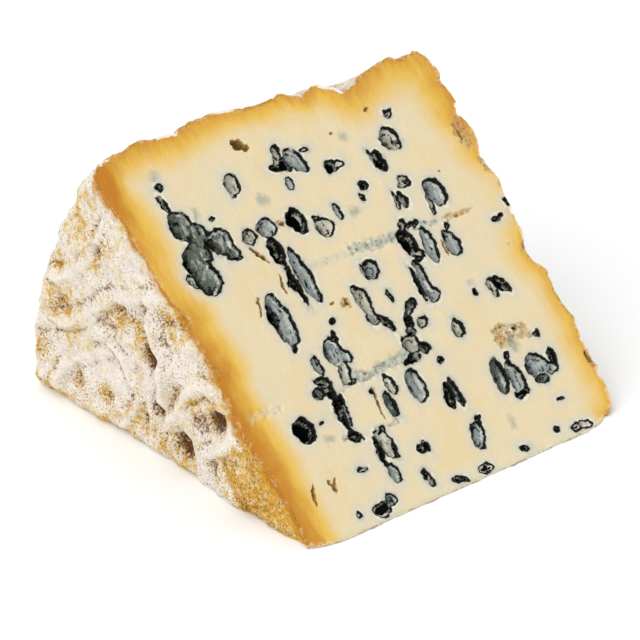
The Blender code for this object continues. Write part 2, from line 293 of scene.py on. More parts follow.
# Crumbly dry patches of the upper cut face: x, distance up the face, half width, half length
DRY_PATCHES = (
    (34.0, 59.6, 6.5, 1.0), (29.0, 30.3, 3.0, 1.4), (33.5, 28.0, 3.8, 2.6), (37.0, 25.8, 2.4, 1.2),
    (28.0, 27.5, 2.6, 2.4), (48.0, 46.0, 1.0, 2.2), (47.2, 77.5, 2.4, 5.0), (48.6, 68.5, 1.0, 2.6),
    (-6.0, 49.4, 1.8, 1.7), (-24.0, 20.4, 1.4, 0.8), (48.4, 15.4, 1.2, 3.0),
    (-34.0, 77.3, 1.2, 1.0), (-10.2, 19.3, 2.6, 0.9), (-11.6, 73.0, 1.2, 1.4),
)
# Yellow-ochre patches of the left rind: distance back, height, reach
OCHRE_PATCHES = (
    (89, 29, 6), (97, 12, 6), (80, 51, 8), (67, 32, 7), (47, 39, 7), (34, 33, 7), (60, 8, 7),
    (85, 20, 5), (88, 38, 5), (72, 10, 4), (83, 8, 4), (75, 60, 5),
)

LININGS = ("haze", "pale", "rust", "grey", "moss", "black")
MOULDED = ("pale", "grey", "moss", "black")
WALL_WIDTH = 0.45  # over which a hole's wall goes down
HOLE_REACH = 3.0  # how far from its edge a hole is felt
HOLE_MELT = 2.4  # the lower, the more neighbouring holes run together
FULL_DEPTH, SHALLOW = 1.0, 0.7  # share of a hole's depth: shallow where its floor lies open
DEPTH_SHARE = {"haze": SHALLOW, "pale": SHALLOW, "rust": FULL_DEPTH, "grey": SHALLOW,
               "moss": SHALLOW, "black": FULL_DEPTH}
# Lines along the wall of a mouldy hole: name, where it starts and ends inside, how complete.
# The ring and the core are dark lines, partly dark mould and partly painted shade; the glint
# between them is a painted highlight.
MOULD_LINES = (("ring", -0.2, 0.30, 1.3), ("painted_glint", 0.35, 0.85, 0.35), ("core", 0.85, 1.25, 0.35))
LINE_BLUR = 0.12

TIP_BLUNT = 1.0
TIP_BULGE = 1.5  # how far the soft tip edge sags forwards
TIP_ENDS = (-46.0, 45.0)  # x where the sag begins and ends
LIP_REACH = 4.5  # how far up the face the sag reaches
UNDERCUT_HEIGHT = 4.5  # of the rounding that lifts the rind's foot off the table

# Layers of noise: share, spacing, seed
BROAD_LUMPS = ((1.3, 21, 1), (0.8, 9, 2))
CRUMBLY_GRAIN = ((1.0, 3.1, 4), (0.8, 1.5, 5), (0.4, 0.9, 10))


def ease(value):
    """Smooth step from 0 to 1 of values clipped to that range."""
    value = np.clip(value, 0, 1)
    return value * value * (3 - 2 * value)


def lumps(points, spacing, seed):
    """Smooth noise, about -1 to 1, at (n, 2) or (n, 3) points with lumps `spacing` apart."""
    directions = np.array([spot for spot in itertools.product((-1, 0, 1), repeat=3)
                           if abs(spot[0]) + abs(spot[1]) + abs(spot[2]) == 2])
    scaled = np.zeros((len(points), 3))
    scaled[:, :points.shape[1]] = points
    scaled = scaled / spacing + 0.37 * seed
    cell = np.floor(scaled).astype(np.int64)
    part = scaled - cell
    smooth = part ** 3 * (part * (part * 6 - 15) + 10)
    total = np.zeros(len(points))
    for corner in itertools.product((0, 1), repeat=3):
        node = cell + np.array(corner)
        key = (node[:, 0] * 73856093) ^ (node[:, 1] * 19349663) ^ (node[:, 2] * 83492791)
        key = (key + seed * 2654435761) & 0xFFFFFFFF
        key = ((key ^ (key >> 15)) * 2246822519) & 0xFFFFFFFF
        key = ((key ^ (key >> 13)) * 3266489917) & 0xFFFFFFFF
        slope = directions[((key ^ (key >> 16)) % len(directions))]
        weight = np.prod(np.where(np.array(corner), smooth, 1 - smooth), axis=1)
        total += weight * np.sum(slope * (part - np.array(corner)), axis=1)
    return 1.2 * total


def layered(points, layers):
    """Sum of layers of noise, each a share, a spacing and a seed."""
    return sum(share * lumps(points, spacing, seed) for share, spacing, seed in layers)


def tip_middle(x, start, end):
    """0 at both ends of the tip edge, rising to 1 over its middle."""
    return ease((x - start) / 7) * ease((end - x) / 9)


def route_distance(spots, route):
    """Distance of (n, 2) spots from a route of straight stretches."""
    nearest = np.full(len(spots), np.inf)
    for start, end in itertools.pairwise(np.array(route, dtype=float)):
        stretch = end - start
        share = np.clip((spots - start) @ stretch / (stretch @ stretch), 0, 1)
        away = spots - start - share[:, None] * stretch
        nearest = np.minimum(nearest, np.hypot(away[:, 0], away[:, 1]))
    return nearest


def evenly(points, step):
    """Points about `step` apart along a polyline, ends kept."""
    points = np.array(points, dtype=float)
    run = np.concatenate(([0], np.cumsum(np.linalg.norm(np.diff(points, axis=0), axis=1))))
    places = np.linspace(0, run[-1], max(2, round(run[-1] / step) + 1))
    return np.stack([np.interp(places, run, column) for column in points.T], axis=1)


class WedgeForm:
    """The wedge's surface as formulas, in millimetres: x, back from the tip edge, up."""

    def __init__(self, sizes):
        self.radius = sizes.wheel_radius / MM
        self.angle = sizes.wedge_angle
        self.rim_round = sizes.rim_round / MM
        self.lump_height = sizes.lump_height / MM
        self.grain_height = sizes.grain_height / MM
        self.rind_step = sizes.rind_step / MM
        self.face_step = sizes.face_step / MM
        self.seed = sizes.seed
        self.chance = np.random.default_rng(sizes.seed)
        self.trace_profile()
        self.trace_cut_edge()
        self.end_dents = {"left": END_DENTS, "right": self.random_dents(26, 98, 52)}
        self.end_seams = {"left": END_SEAMS, "right": self.random_seams(98, 60)}
        self.belt_dents = self.random_dents(34, 101, 74)
        self.belt_seams = self.random_seams(101, 76)

    def trace_profile(self):
        """Nominal half outline of the drum: x and radius, with the outward direction."""
        corners = np.array([(LEFT_END[0], 0), (LEFT_END[1], self.radius),
                            (RIGHT_END[1], self.radius), (RIGHT_END[0], 0)], dtype=float)
        route = [corners[0]]
        for before, corner, after in zip(corners, corners[1:], corners[2:]):
            came = (corner - before) / np.linalg.norm(corner - before)
            goes = (after - corner) / np.linalg.norm(after - corner)
            turn = math.acos(came @ goes)
            centre = (corner - came * self.rim_round * math.tan(turn / 2)
                      + self.rim_round * np.array([came[1], -came[0]]))
            for share in np.linspace(0, 1, 40):
                swing = share * turn
                out = np.array([-came[1], came[0]])
                route.append(centre + self.rim_round * (out * math.cos(swing)
                                                        + came * math.sin(swing)))
        route.append(corners[-1])
        route = evenly(route, PROFILE_STEP)
        self.profile = route
        self.run = np.linspace(0, PROFILE_STEP * (len(route) - 1), len(route))
        way = np.gradient(route, axis=0)
        way /= np.linalg.norm(way, axis=1)[:, None]
        self.outward = np.stack([-way[:, 1], way[:, 0]], axis=1)
        flat_radius = self.radius - self.rim_round
        high = np.nonzero(route[:, 1] > flat_radius)[0]
        self.belt_start, self.belt_end = self.run[high[0]], self.run[high[-1]]
        self.rims = (self.belt_start + self.rim_round * 0.78,
                     self.belt_end - self.rim_round * 0.78)

    def trace_cut_edge(self):
        """How far the crumbly edge of the upper cut lies from the nominal outline."""
        edge = np.array(CUT_OUTLINE, dtype=float)
        left = int(np.argmin(np.hypot(edge[:, 0] + 50.6, edge[:, 1] - 99)))
        right = int(np.argmin(np.hypot(edge[:, 0] - 49.6, edge[:, 1] - 97)))
        pieces = (edge[:left + 1], edge[left:right + 1], edge[right:])
        bounds = (0, *self.rims, self.run[-1])
        places, wanted = [], []
        for piece, start, end in zip(pieces, bounds, bounds[1:]):
            line = evenly(piece, PROFILE_STEP)
            places.append(np.linspace(start, end, len(line)))
            wanted.append(line)
        places, wanted = np.concatenate(places), np.concatenate(wanted)
        self.edge_shift = np.stack([np.interp(self.run, places, wanted[:, axis])
                                    for axis in (0, 1)], axis=1) - self.profile

    def random_dents(self, count, width, height):
        """Dents of a rind whose real marks are out of sight."""
        chance = self.chance
        return [(chance.uniform(2, width), chance.uniform(2, height), chance.uniform(1.6, 4.0),
                 chance.uniform(0.5, 1.4)) for _ in range(count)]

    def random_seams(self, width, height):
        """Raised seams that cross each other where a cloth was folded round the drum."""
        chance = self.chance
        seams = []
        for slope in (-0.75, 0.8):
            for start in np.arange(-60, width + 60, 27) + chance.uniform(-6, 6, 1):
                route = [(start + part / slope + chance.uniform(-3, 3), part)
                         for part in np.arange(-5, height + 12, 9)]
                seams.append((2.6, chance.uniform(0.2, 0.6), route))
        for _ in range(5):
            spot = np.array([chance.uniform(5, width), chance.uniform(5, height)])
            heading = chance.uniform(0, math.tau)
            route = [tuple(spot)]
            for _ in range(4):
                heading += chance.uniform(-0.5, 0.5)
                spot = spot + 5 * np.array([math.cos(heading), math.sin(heading)])
                route.append(tuple(spot))
            seams.append((1.4, chance.uniform(-0.9, -0.5), route))
        return seams

    def marks(self, spots, dents, seams):
        """Relief of dents and seams, and how deep in a pit and high on a seam each spot is."""
        moved = spots + 0.9 * np.stack([lumps(spots, 3.2, 31), lumps(spots, 3.2, 32)], axis=1)
        relief, pit, ridge = np.zeros(len(spots)), np.zeros(len(spots)), np.zeros(len(spots))
        for across, up, reach, depth in dents:
            away = np.hypot(moved[:, 0] - across, moved[:, 1] - up) / reach
            bowl = ease(1.25 * (1.1 - away))
            relief -= depth * bowl
            pit = np.maximum(pit, bowl * min(1.0, 0.1 + max(0.0, depth - 0.6) / 1.2))
        for width, height, route in seams:
            away = route_distance(moved, route) / (0.5 * width)
            rise = np.exp(-away ** 2)
            relief += height * rise
            if height > 0:
                ridge = np.maximum(ridge, rise * min(1.0, 1.1 * height))
                # Creases along a seam's feet: dug in, and counted as pit, which darkens them
                # partly as painted shade
                crease = np.exp(-(2.0 * (away - 1.8)) ** 2)
                foot = crease * ease(0.6 + 1.2 * lumps(spots, 6, 33))
                relief -= 0.45 * height * foot
                pit = np.maximum(pit, 0.55 * foot * min(1.0, height))
            else:
                pit = np.maximum(pit, -0.45 * height * rise)
        return relief, pit, ridge

    def rind(self, along, turn):
        """Points of the rind at places along the profile and angles over the lower cut."""
        x, radius = (np.interp(along, self.run, column) for column in self.profile.T)
        out_x, out_r = (np.interp(along, self.run, column) for column in self.outward.T)
        shift_x, shift_r = (np.interp(along, self.run, column) for column in self.edge_shift.T)
        spots = np.stack([x, radius * np.cos(turn), radius * np.sin(turn)], axis=1)
        left = ease((self.rims[0] + 2 - along) / 4)
        right = ease((along - self.rims[1] + 2) / 4)
        relief, pit, ridge = np.zeros(len(x)), np.zeros(len(x)), np.zeros(len(x))
        regions = ((left, spots[:, 1:], self.end_dents["left"], self.end_seams["left"]),
                   (right, spots[:, 1:], self.end_dents["right"], self.end_seams["right"]),
                   (1 - left - right, np.stack([x + 50, self.radius * turn], axis=1),
                    self.belt_dents, self.belt_seams))
        for share, places, dents, seams in regions:
            found = self.marks(places, dents, seams)
            relief += share * found[0]
            pit += share * found[1]
            ridge += share * found[2]
        relief += self.lump_height * layered(spots, (*BROAD_LUMPS, (0.3 + 0.4 * left, 4.5, 3)))
        grain = (self.grain_height * ease(0.55 + lumps(spots, 7, 7))
                 * layered(spots, CRUMBLY_GRAIN))
        from_cut = radius * (self.angle - turn)
        near_cut = ease(1 - from_cut / CUT_EDGE_REACH)
        away = (1 - near_cut) * relief + grain * (1 + 1.4 * ease(1 - from_cut / 2.5))
        undercut = 1.3 + 0.7 * lumps(spots, 16, 6) + 1.0 * left * ease((radius - 34) / 12)
        step = np.clip(1 - radius * turn / UNDERCUT_HEIGHT, 0, 1)
        away -= np.maximum(undercut, 0.3) * (1 - np.sqrt(1 - 0.98 * step * step))
        x = x + near_cut * shift_x + out_x * away
        radius = np.hypot(np.maximum(radius + near_cut * shift_r + out_r * away, 0), TIP_BLUNT)
        points = np.stack([x, radius * np.cos(turn), radius * np.sin(turn)], axis=1)
        shades = {"pit": pit, "ridge": ridge, "from_cut": from_cut,
                  "ochre_zone": self.ochre(spots, left)}
        return points, shades

    def ochre(self, spots, left):
        """How yellow-ochre the rind is: granular at the tip, patchy behind it and low down."""
        across, up = spots[:, 1], spots[:, 2]
        tip = ease((36 - across - 0.5 * np.maximum(up - 10, 0) + 9 * lumps(spots, 7, 8)) / 16)
        zone = (0.60 - 0.2 * left) * ease(0.1 + 0.25 * left + 1.5 * lumps(spots, 12, 9))
        for middle, height, reach in OCHRE_PATCHES:
            away = np.hypot(across - middle, up - height) / reach
            zone = np.maximum(zone, 0.52 * left * ease(0.9 * (1.3 - away)))
        foot = 0.55 * left * ease((7 - up) / 6) * ease(0.6 + 1.2 * lumps(spots, 9, 11))
        return np.max([tip, zone, foot], axis=0)


class CutFace:
    """Holes, needle tracks and grain of one cut face, in millimetres: x and distance up."""

    def __init__(self, holes, tracks, patches, outline, tip, slope, seed):
        self.holes, self.tracks, self.patches = holes, tracks, patches
        self.slope, self.seed = slope, seed
        self.rim_tree = kd_tree(evenly(outline, 0.15))
        self.edge_tree = kd_tree(evenly(tip, 0.15))

    def dig(self, moved):
        """Holes, where neighbours of one lining run together.

        For each spot: how far inside the holes of each lining it is, the depth, and how far
        it lies towards the shadow side of a mouldy hole (-x, away from the light), -1 to 1;
        there shade is painted on and the hole is dug deeper.
        """
        inside, dug, shadow_side_sums, melted = {}, {}, {}, {}
        for lining in LININGS:
            weight = np.full(len(moved), math.exp(-HOLE_MELT * HOLE_REACH))
            deep_sum, shadow_side_sum = np.zeros(len(moved)), np.zeros(len(moved))
            for x, up, half_width, half_length, lean, deep in self.holes.get(lining, ()):
                reach = max(half_width, half_length) + HOLE_REACH
                near = np.nonzero((abs(moved[:, 0] - x) < reach)
                                  & (abs(moved[:, 1] - up) < reach))[0]
                off = moved[near] - (x, up)
                lean = math.radians(lean)
                ratio_x = off @ (math.cos(lean), -math.sin(lean)) / half_width
                ratio_y = off @ (math.sin(lean), math.cos(lean)) / half_length
                ratio = np.hypot(ratio_x, ratio_y)
                within = np.maximum(ratio, 1e-4) * (1 - ratio) / np.maximum(
                    np.hypot(ratio_x / half_width, ratio_y / half_length), 1e-4)
                share = np.exp(HOLE_MELT * np.maximum(within, -HOLE_REACH))
                weight[near] += share
                # Sums how far each spot lies towards -x, the side away from the light, where shade
                # is painted
                shadow_side_sum[near] -= share * ratio_x
                deep_sum[near] += share * deep * (0.72 + 0.28 * np.clip(1 - ratio ** 2, 0, 1))
            inside[lining] = np.log(weight) / HOLE_MELT
            wall = ease(inside[lining] / WALL_WIDTH)
            dug[lining] = DEPTH_SHARE[lining] * deep_sum / weight * wall
            shadow_side_sums[lining], melted[lining] = shadow_side_sum, weight
        shadow_side = (sum(shadow_side_sums[lining] for lining in MOULDED)
                     / sum(melted[lining] for lining in MOULDED)).clip(-1, 1)
        return inside, np.max(list(dug.values()), axis=0), shadow_side

    def bands(self, moved):
        """How mould-tinted, how dry and how crumbly the needle tracks and dry patches are."""
        veil, dry, crumb = (np.zeros(len(moved)) for _ in range(3))
        for half_width, roughness, tint, route in self.tracks:
            band = ease(1.5 - route_distance(moved, route) / half_width)
            veil = np.maximum(veil, band * tint)
            crumb = np.maximum(crumb, band * roughness)
        for x, up, half_width, half_length in self.patches:
            ratio = np.hypot((moved[:, 0] - x) / half_width, (moved[:, 1] - up) / half_length)
            dry = np.maximum(dry, ease(1.6 * (1.15 - ratio)))
        return veil, dry, np.maximum(crumb, 0.7 * dry)

    def drying(self, spots, from_rind):
        """How dried and amber the paste is: a band under the rind, wider in three corners."""
        x, up = spots[:, 0], spots[:, 1]
        left = ease((-24 - x) / 22) * ease((104 - up) / 16)
        right = ease((x - 24) / 20)
        band = (8.5 + 4.5 * left + 6.5 * ease((x - 12) / 24) * ease((up - 66) / 26)
                + 2.5 * lumps(spots, 16, self.seed + 10))
        pale_left = 1.6 * np.exp(-((up - 70) / 14) ** 2)
        pale_right = 0.32 * right * np.exp(-((up - 60) / 9) ** 2)
        edge = (0.80 - 0.04 * ease((x - 8) / 20) * ease((up - 70) / 20)
                + 0.22 * left * (1 - pale_left) - 0.16 * right * ease((80 - up) / 20)
                - pale_right)
        top_left_corner = 0.5 * ease(1.25 - np.hypot(x + 51, up - 97) / 7)
        return edge * np.clip(1 - from_rind / band, 0, 1) + top_left_corner

    def read(self, spots):
        """Depth of the face, its shades and the distance of hole edges at (n, 2) spots."""
        seed = self.seed
        moved = spots + np.stack([
            layered(spots, ((0.55, 3.4, seed), (0.34, 1.1, seed + 1))),
            layered(spots, ((0.75, 3.4, seed + 2), (0.36, 1.1, seed + 3)))], axis=1)
        inside, depth, shadow_side = self.dig(moved)
        veil, dry, crumb = self.bands(moved)
        from_rind = nearest(self.rim_tree, spots)
        from_tip = nearest(self.edge_tree, spots)
        # The shadow side of a mouldy hole is dug deeper
        depth *= 1 + 0.45 * shadow_side
        depth *= 1 + 0.35 * layered(spots, ((0.5, 1.7, seed + 4), (0.5, 0.8, seed + 5)))
        grit = 0.35 + layered(spots, ((1.1, 1.3, seed + 6), (0.5, 0.7, seed + 12)))
        depth += crumb * grit.clip(-0.15, None)
        depth = np.minimum(depth, 0.2 + 0.35 * np.maximum(spots[:, 1], 0) * self.slope)
        knife_marks = 0.035 * lumps(spots * (1, 0.45), 1.6, seed + 8)
        depth += 0.10 + 0.09 * lumps(spots, 13, seed + 7) + knife_marks
        depth += 0.22 * ease(1 - from_rind / 1.2)
        depth *= ease(from_rind / 0.5) * ease(from_tip / 0.5)

        mould = np.max([inside[lining] for lining in MOULDED], axis=0)
        shades = {f"in_{lining}": found for lining, found in inside.items()}
        # Dark ring and core along the wall, partly mould and partly painted shade, and a painted
        # glint between them
        for number, (name, start, end, complete) in enumerate(MOULD_LINES):
            begun = ease((mould - start + LINE_BLUR) / (2 * LINE_BLUR))
            ended = ease((mould - end + LINE_BLUR) / (2 * LINE_BLUR))
            broken = ease(complete + 1.2 * lumps(spots, 2.8, seed + 20 + number))
            shades[name] = begun * (1 - ended) * broken
        # Painted highlight: a pale brim just outside the edge of each mouldy hole
        shades["brim"] = (ease((mould + 0.95) / 0.35) * (1 - ease((mould + 0.4) / 0.3))
                          * ease(0.4 + 1.2 * lumps(spots, 2.6, seed + 11)))
        shades["crust"] = (ease(1.3 - from_rind / 0.9) * ease((spots[:, 1] - 92) / 5)
                           * ease(0.6 + 1.2 * lumps(spots, 8, seed + 30)))
        shades["above_tip"] = spots[:, 1] + TIP_BULGE * tip_middle(spots[:, 0], *TIP_ENDS)
        # Painted shade on the side of each mouldy hole away from the light, painted highlight on
        # the side towards it
        shades["painted_shade_side"] = (0.5 + 0.5 * shadow_side) * ease(mould / 0.4)
        shades["painted_highlight_side"] = (0.5 - 0.5 * shadow_side) * ease(mould / 0.4)
        shades.update(in_mould=mould, veil=veil, dry=dry, from_rind=from_rind,
                      dried=self.drying(spots, from_rind))
        edge = np.min([abs(found) for found in inside.values()], axis=0)
        return depth, shades, edge

    def wanted_step(self, spots, widest):
        """Mesh spacing that each spot asks for: finest at the edge of a hole."""
        _, shades, edge = self.read(spots)
        busy = np.maximum(shades["veil"], shades["dry"]) > 0.05
        step = np.where(edge < 0.9, 0.26, np.where(edge < 2.2, 0.5, widest))
        step = np.where(shades["in_mould"] > 0, np.minimum(step, 0.5), step)
        step = np.where(busy, np.minimum(step, 0.3), step)
        return np.where(shades["from_rind"] < 1.5, np.minimum(step, 0.5), step)


def kd_tree(spots):
    """Search tree of 2-D spots."""
    tree = KDTree(len(spots))
    for place, spot in enumerate(spots):
        tree.insert((spot[0], spot[1], 0), place)
    tree.balance()
    return tree


def nearest(tree, spots):
    """Distance of each spot from the nearest one in a tree."""
    return np.array([tree.find((x, y, 0))[2] for x, y in spots.tolist()])


def graded_spots(low, high, widest, wanted_step, chance):
    """Centres of square cells, halved where the step asked for is narrower than the cell."""
    across, up = (np.arange(start, end + widest, widest) for start, end in zip(low, high))
    spots = np.stack(np.meshgrid(across, up), axis=-1).reshape(-1, 2)
    quarter = np.array(list(itertools.product((-0.25, 0.25), repeat=2)))
    size, kept = widest, []
    for _ in range(2):
        split = wanted_step(spots) < 0.8 * size
        kept.append(spots[~split] + chance.uniform(-0.16, 0.16, (np.sum(~split), 2)) * size)
        spots = (spots[split][:, None, :] + quarter * size).reshape(-1, 2)
        size /= 2
    kept.append(spots + chance.uniform(-0.16, 0.16, spots.shape) * size)
    return np.concatenate(kept)


def even_spots(low, high, step, chance):
    """Spots of a slightly shaken triangular grid."""
    rows = np.arange(low[1], high[1], step * math.sqrt(0.75))
    spots = [np.stack([np.arange(low[0], high[0], step) + (row % 2) * step / 2,
                       np.full(len(np.arange(low[0], high[0], step)), up)], axis=1)
             for row, up in enumerate(rows)]
    spots = np.concatenate(spots)
    return spots + chance.uniform(-0.14, 0.14, spots.shape) * step


class Skin:
    """The mesh in the making: points, shades, triangles and their place on the flat map."""

    def __init__(self, defaults):
        self.points, self.shades, self.defaults = [], {}, defaults
        self.triangles, self.flat, self.patch = [], [], []
        self.count = 0

    def add(self, points, shades):
        """Adds points with their shades; gives their numbers."""
        numbers = np.arange(self.count, self.count + len(points))
        self.points.append(points)
        for name, values in shades.items():
            self.shades.setdefault(name, []).append((numbers, values))
        self.count += len(points)
        return numbers

    def fill(self, rim, rim_spots, inner, inner_spots, sign, patch, flipped):
        """Triangles between a closed rim and inner points, from their flat places."""
        numbers = np.concatenate([rim, inner])
        spots = np.concatenate([rim_spots, inner_spots])
        found = delaunay_2d_cdt([Vector(spot) for spot in spots.tolist()],
                                [(place, (place + 1) % len(rim)) for place in range(len(rim))],
                                [], 1, 1e-6)
        source = np.array([places[0] if places else -1 for places in found[3]])
        if (source < 0).any():
            raise RuntimeError(f"the rim of patch {patch} crosses itself")
        triangles = source[np.array([list(face) for face in found[2]])]
        sides = spots[triangles[:, 1:]] - spots[triangles[:, :1]]
        area = sides[:, 0, 0] * sides[:, 1, 1] - sides[:, 0, 1] * sides[:, 1, 0]
        turned = (area < 0) != flipped
        triangles[turned] = triangles[turned][:, ::-1]
        self.triangles.append(numbers[triangles])
        self.flat.append((sign * spots + MAP_PLACES[patch])[triangles])
        self.patch.append(np.full(len(triangles), patch))

    def make(self, name, cut_patches, map_size):
        """The finished mesh object, with its shades, its flat map and sharp cut edges."""
        points = np.concatenate(self.points) * MM
        triangles = np.concatenate(self.triangles)
        patch = np.concatenate(self.patch)
        used = np.unique(triangles)
        renumber = np.zeros(self.count, dtype=np.int64)
        renumber[used] = np.arange(len(used))
        mesh = bpy.data.meshes.new(name)
        mesh.from_pydata(points[used].tolist(), [], renumber[triangles].tolist())
        for shade, parts in self.shades.items():
            values = np.full(self.count, self.defaults.get(shade, 0.0))
            for numbers, found in parts:
                values[numbers] = found
            layer = mesh.attributes.new(shade, "FLOAT", "POINT")
            layer.data.foreach_set("value", values[used].astype(np.float32))
        flat = np.concatenate(self.flat).reshape(-1, 2) / map_size
        mesh.uv_layers.new(name="OFBake").data.foreach_set("uv", flat.ravel().astype(np.float32))
        rind = ~np.isin(patch, cut_patches)
        mesh.polygons.foreach_set("material_index", rind.astype(np.int32))
        mesh.polygons.foreach_set("use_smooth", np.ones(len(patch), dtype=bool))
        self.mark_cut_edges(mesh, patch, cut_patches)
        thing = bpy.data.objects.new(name, mesh)
        bpy.context.collection.objects.link(thing)
        return thing

    def mark_cut_edges(self, mesh, patch, cut_patches):
        """Keeps the edges of the cut faces crisp."""
        corner_edges = np.empty(len(mesh.loops), dtype=np.int64)
        mesh.loops.foreach_get("edge_index", corner_edges)
        owner = np.repeat(patch, 3)
        lowest = np.full(len(mesh.edges), 99)
        highest = np.full(len(mesh.edges), -1)
        np.minimum.at(lowest, corner_edges, owner)
        np.maximum.at(highest, corner_edges, owner)
        beside_cut = np.isin(lowest, cut_patches) | np.isin(highest, cut_patches)
        sharp = (lowest != highest) & beside_cut
        layer = mesh.attributes.new("sharp_edge", "BOOLEAN", "EDGE")
        layer.data.foreach_set("value", sharp)


UPPER, LOWER, LEFT, RIGHT, BELT = range(5)
CUT_PATCHES = (UPPER, LOWER)
# The flat map: its size, and where each patch's zero point lies on it
MAP_SIZE = 211.0
MAP_PLACES = {UPPER: (53.0, 1.5), LOWER: (158.5, 1.5), LEFT: (108.0, 108.0),
              RIGHT: (208.0, 204.0), BELT: (1.5, 108.0)}


class WedgeSkin(Skin):
    """The whole surface of the wedge: two cut faces, two flat rinds and the round one."""

    def __init__(self, form):
        super().__init__({f"in_{lining}": -HOLE_REACH for lining in (*LININGS, "mould")})
        self.form = form
        self.lay_edges()
        self.lay_cut_faces()
        self.lay_end_rinds()
        self.lay_belt()

    def lay_edges(self):
        """The lines that the faces share."""
        form = self.form
        stretches = ((0, form.belt_start), (form.belt_start, form.belt_end),
                     (form.belt_end, form.run[-1]))
        lines = [np.linspace(start, end, round((end - start) / OUTLINE_STEP) + 1)
                 for start, end in stretches]
        self.along = np.concatenate([lines[0][1:], lines[1][1:], lines[2][1:-1]])
        self.turn_left, self.turn_right = len(lines[0]) - 2, len(lines[0]) + len(lines[1]) - 3
        upper, upper_shades = form.rind(self.along, np.full(len(self.along), form.angle))
        lower, lower_shades = form.rind(self.along, np.zeros(len(self.along)))
        ends, _ = form.rind(np.array([0, form.run[-1]]), np.full(2, form.angle / 2))
        count = round((ends[1, 0] - ends[0, 0]) / OUTLINE_STEP)
        x = np.linspace(ends[0, 0], ends[1, 0], count + 1)
        line = np.stack([x, np.zeros(len(x))], axis=1)
        ragged = layered(line, ((0.35, 5, 41), (0.3, 1.7, 42)))
        bulge = TIP_BULGE * tip_middle(x, x[0], x[-1]) + ragged
        corner = TIP_BLUNT * (np.exp(-(x - x[0]) / 0.9) + np.exp((x - x[-1]) / 0.9))
        half = form.angle / 2
        tip = np.stack([x, corner * math.cos(half) - bulge,
                        corner * math.sin(half) + 0.12 + 0.3 * abs(ragged)], axis=1)
        turns = np.linspace(0, form.angle,
                            round(form.radius * form.angle / OUTLINE_STEP) + 1)[1:-1]
        self.turns = turns
        self.upper_spots = np.stack([upper[:, 0], np.hypot(upper[:, 1], upper[:, 2])], axis=1)
        self.lower_spots = lower[:, :2]
        slope = math.tan(form.angle)
        self.upper_face = CutFace(UPPER_HOLES, NEEDLE_TRACKS, DRY_PATCHES, self.upper_spots,
                                  line, slope, 50)
        self.lower_face = CutFace(self.hidden_holes(), (), (), self.lower_spots, line, slope, 70)
        for face, spots, shades in ((self.upper_face, self.upper_spots, upper_shades),
                                    (self.lower_face, self.lower_spots, lower_shades)):
            shades.update(face.read(spots)[1])
        self.upper = self.add(upper, upper_shades)
        self.lower = self.add(lower, lower_shades)
        self.tip = self.add(tip, self.upper_face.read(tip[:, :2])[1])
        self.arcs = []
        for place in (form.belt_start, form.belt_end):
            points, shades = form.rind(np.full(len(turns), place), turns)
            self.arcs.append(self.add(points, shades))

    def hidden_holes(self):
        """Holes of the cut that the wedge lies on: as many and as mixed as on the upper one."""
        chance, middles = self.form.chance, []
        holes = {lining: [] for lining in LININGS}
        while len(middles) < 60:
            x, up = chance.uniform(-40, 42), chance.uniform(6, 94)
            if any(math.hypot(x - other[0], up - other[1]) < 6 for other in middles):
                continue
            half_width = chance.choice([0.8, 1.2, 1.7, 2.3, 2.8])
            half_length = half_width * chance.uniform(0.9, 2.0)
            lining = chance.choice(["black", "grey", "moss", "pale", "rust"],
                                   p=[0.4, 0.24, 0.1, 0.16, 0.1])
            middles.append((x, up))
            holes[str(lining)].append((x, up, half_width, half_length, chance.uniform(-25, 25),
                                       min(5.0, 1.3 * half_width)))
        return holes

    def lay_cut_faces(self):
        """The two cut faces, which meet in the tip edge."""
        form = self.form
        tip_back = self.tip[::-1]
        tip_points = np.concatenate(self.points)[tip_back]
        faces = ((UPPER, self.upper_face, self.upper, self.upper_spots, form.angle),
                 (LOWER, self.lower_face, self.lower, self.lower_spots, 0.0))
        for patch, face, rim, rim_spots, turn in faces:
            up = np.array([0, math.cos(turn), math.sin(turn)])
            side = 1 if patch == UPPER else -1
            inward = side * np.array([0, math.sin(turn), -math.cos(turn)])
            widest = form.face_step
            spots = graded_spots((-51.6, -TIP_BULGE), (51, 104.2), widest,
                                 lambda places: face.wanted_step(places, widest), form.chance)
            rim_numbers = np.concatenate([rim, tip_back])
            rim_flat = np.concatenate([rim_spots,
                                       np.stack([tip_points[:, 0], tip_points @ up], axis=1)])
            spots = spots[nearest(kd_tree(rim_flat), spots) > 0.25]
            depth, shades, _ = face.read(spots)
            if patch == LOWER:
                depth = np.maximum(depth, 0)
            else:
                sag = np.clip((LIP_REACH - spots[:, 1]) / (LIP_REACH + TIP_BULGE), 0, 1) ** 2
                middle = tip_middle(spots[:, 0], *TIP_ENDS)
                depth -= TIP_BULGE * math.sin(form.angle) * sag * (0.1 + 0.9 * middle)
            points = spots[:, :1] * (1, 0, 0) + spots[:, 1:] * up + depth[:, None] * inward
            self.fill(rim_numbers, rim_flat, self.add(points, shades), spots, 1, patch,
                      patch == LOWER)

